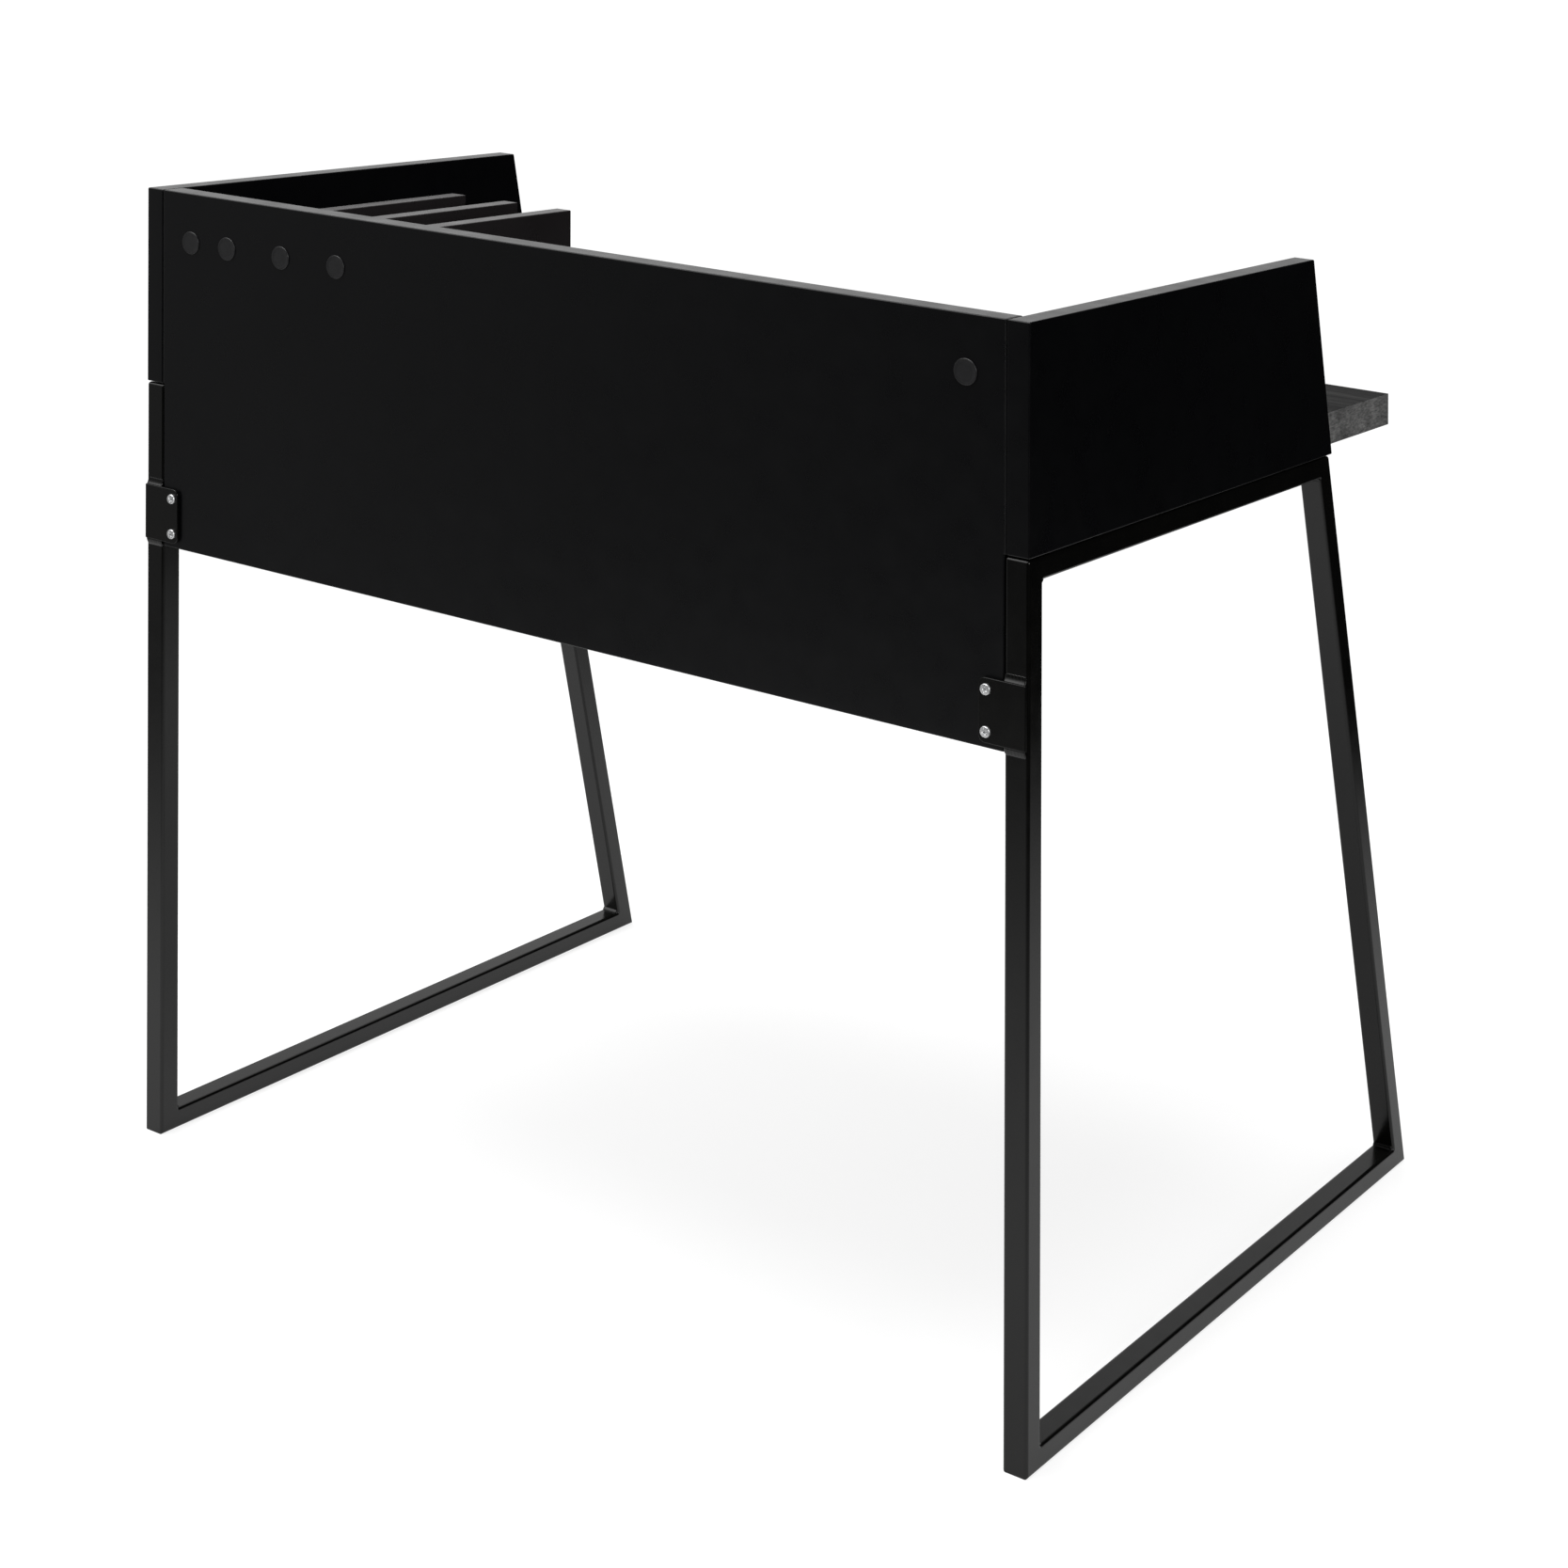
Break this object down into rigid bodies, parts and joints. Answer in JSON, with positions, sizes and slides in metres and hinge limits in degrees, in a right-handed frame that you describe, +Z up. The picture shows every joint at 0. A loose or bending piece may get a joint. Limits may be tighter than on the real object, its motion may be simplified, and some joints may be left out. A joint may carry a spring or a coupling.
{
  "type": "writing desk",
  "caption": "Compact writing and drawing desk: a fixed level desktop with raised back and side panels, upright dividers and two closed square-tube side frames.",
  "frame": {"origin": "centre of the desk's footprint, on the floor", "axes": "+Z up; -Y towards the user's side, where the desktop projects; +X to the user's right, the side that has the dividers"},
  "size_m": [0.96, 0.7422, 0.893],
  "materials": {
    "black_board": "black lacquered board, satin faces and edges",
    "desktop_wood": "charcoal-stained wood grain, matt lacquer",
    "frame_steel": "black powder coat, satin",
    "cap_plastic": "black moulded plastic, satin",
    "zinc_steel": "bright zinc plate",
    "dowel_wood": "plain beech"
  },
  "bodies": {
    "root": {"desktop": "desktop_wood", "back_panel": "black_board", "left_side_panel": "black_board", "right_side_panel": "black_board", "divider_1": "black_board", "divider_2": "black_board", "divider_3": "black_board", "divider_1_dowel": "dowel_wood", "divider_2_dowel": "dowel_wood", "divider_3_dowel": "dowel_wood", "divider_1_screw": "zinc_steel", "divider_2_screw": "zinc_steel", "divider_3_screw": "zinc_steel", "divider_1_cap": "cap_plastic", "divider_2_cap": "cap_plastic", "divider_3_cap": "cap_plastic", "left_corner_cap": "cap_plastic", "right_corner_cap": "cap_plastic", "left_rear_leg": "frame_steel", "left_front_leg": "frame_steel", "left_floor_rail": "frame_steel", "left_top_rail": "frame_steel", "right_rear_leg": "frame_steel", "right_front_leg": "frame_steel", "right_floor_rail": "frame_steel", "right_top_rail": "frame_steel", "left_rear_bracket": "frame_steel", "right_rear_bracket": "frame_steel", "left_rear_seat_tab": "frame_steel", "left_front_seat_tab": "frame_steel", "right_rear_seat_tab": "frame_steel", "right_front_seat_tab": "frame_steel", "left_bracket_screw_lower": "zinc_steel", "left_bracket_screw_upper": "zinc_steel", "right_bracket_screw_lower": "zinc_steel", "right_bracket_screw_upper": "zinc_steel", "left_seat_screw_1": "zinc_steel", "left_seat_screw_2": "zinc_steel", "left_seat_screw_3": "zinc_steel", "left_seat_screw_4": "zinc_steel", "right_seat_screw_1": "zinc_steel", "right_seat_screw_2": "zinc_steel", "right_seat_screw_3": "zinc_steel", "right_seat_screw_4": "zinc_steel", "left_back_cam": "zinc_steel", "left_back_cam_bolt": "zinc_steel", "left_rear_desktop_cam": "zinc_steel", "left_rear_desktop_cam_bolt": "zinc_steel", "left_front_desktop_cam": "zinc_steel", "left_front_desktop_cam_bolt": "zinc_steel", "right_back_cam": "zinc_steel", "right_back_cam_bolt": "zinc_steel", "right_rear_desktop_cam": "zinc_steel", "right_rear_desktop_cam_bolt": "zinc_steel", "right_front_desktop_cam": "zinc_steel", "right_front_desktop_cam_bolt": "zinc_steel"}
  },
  "joints": []
}
